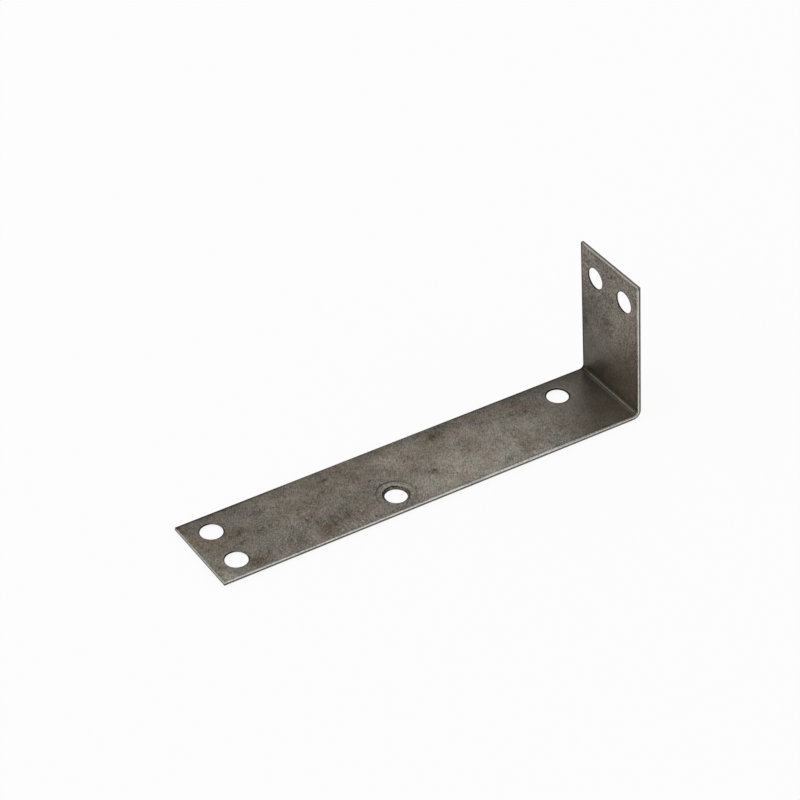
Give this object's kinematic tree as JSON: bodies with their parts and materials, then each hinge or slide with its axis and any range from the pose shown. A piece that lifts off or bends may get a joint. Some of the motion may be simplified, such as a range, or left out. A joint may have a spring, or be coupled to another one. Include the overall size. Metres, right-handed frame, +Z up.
{
  "type": "angle bracket",
  "caption": "Angle bracket folded from a raw steel strip, with a long and a short leg, screw holes in both and a pressed seat for a screw head.",
  "frame": {"origin": "the heel: the point at mid-width where the undersides of the two legs would meet if the fold were sharp", "axes": "+X along the long leg from the fold to its free end, +Y across the strip towards the side with the screw seat, +Z up, the way the short leg stands"},
  "size_m": [0.1498, 0.03, 0.0512],
  "materials": {
    "raw_steel": "uncoated mill finish with darker clouds, light scratches and bright sheared edges"
  },
  "bodies": {
    "root": {"angle_bracket": "raw_steel"}
  },
  "joints": []
}
